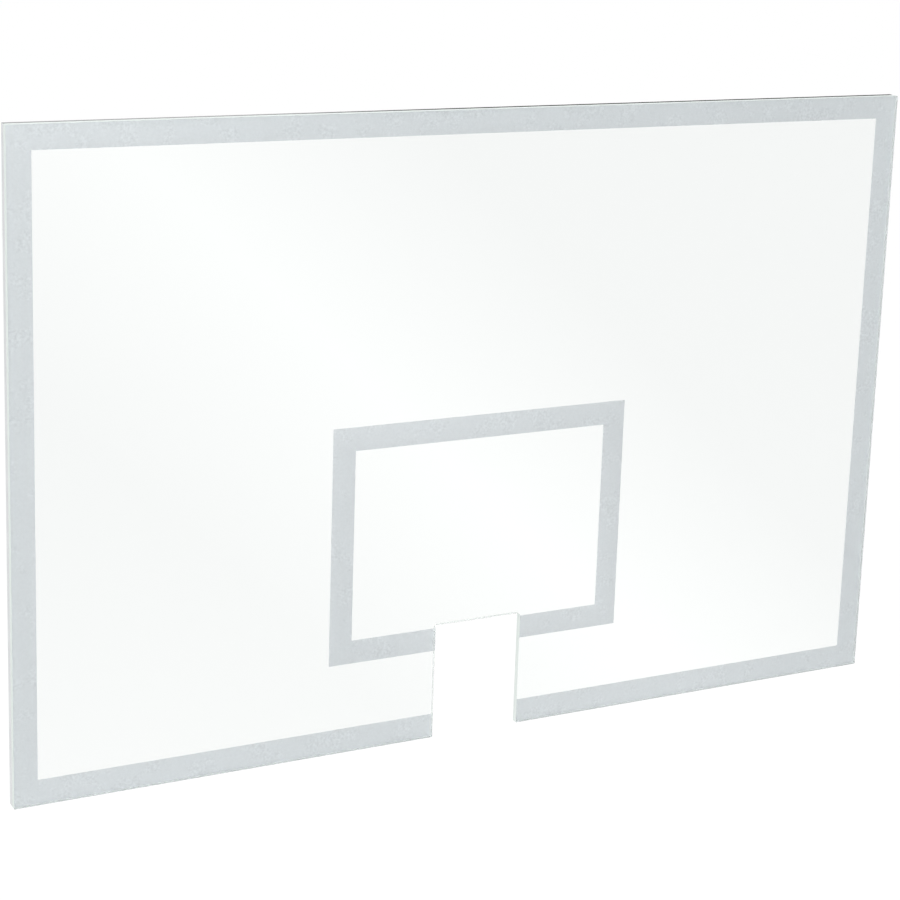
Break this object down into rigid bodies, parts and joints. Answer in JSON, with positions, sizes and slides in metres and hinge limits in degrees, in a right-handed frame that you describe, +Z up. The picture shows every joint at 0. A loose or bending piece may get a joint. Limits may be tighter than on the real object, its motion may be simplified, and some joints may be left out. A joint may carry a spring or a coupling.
{
  "type": "basketball backboard",
  "caption": "Flat clear-glass basketball backboard with grey border and target lines, a notch in its lower edge for the ring's carrier, and a slim bonded rear frame with threaded mounting inserts.",
  "frame": {"origin": "Centre of the board on the rear face of the frame, the plane that the support bolts against.", "axes": "+X to the right as seen from the front, +Y to the rear, +Z up. The playing face looks along -Y."},
  "size_m": [1.8, 0.0283, 1.2],
  "materials": {
    "toughened_glass": "polished faces, finely ground edges",
    "marking_foil": "satin light grey foil",
    "bonding_tape": "matt black foam tape",
    "frame_bar": "satin, natural anodised",
    "screw_steel": "zinc plated",
    "insert_steel": "zinc plated"
  },
  "bodies": {
    "root": {"glass_panel": "toughened_glass", "border_left_strip": "marking_foil", "border_right_strip": "marking_foil", "border_top_strip": "marking_foil", "border_bottom_left_strip": "marking_foil", "border_bottom_right_strip": "marking_foil", "target_left_strip": "marking_foil", "target_right_strip": "marking_foil", "target_top_strip": "marking_foil", "target_base_left_strip": "marking_foil", "target_base_right_strip": "marking_foil", "bond_left_tape": "bonding_tape", "bond_right_tape": "bonding_tape", "bond_top_tape": "bonding_tape", "bond_bottom_left_tape": "bonding_tape", "bond_bottom_right_tape": "bonding_tape", "frame_left_stile": "frame_bar", "frame_right_stile": "frame_bar", "frame_top_rail": "frame_bar", "frame_bottom_left_rail": "frame_bar", "frame_bottom_right_rail": "frame_bar", "corner_screws": "screw_steel", "mounting_inserts": "insert_steel"}
  },
  "joints": []
}
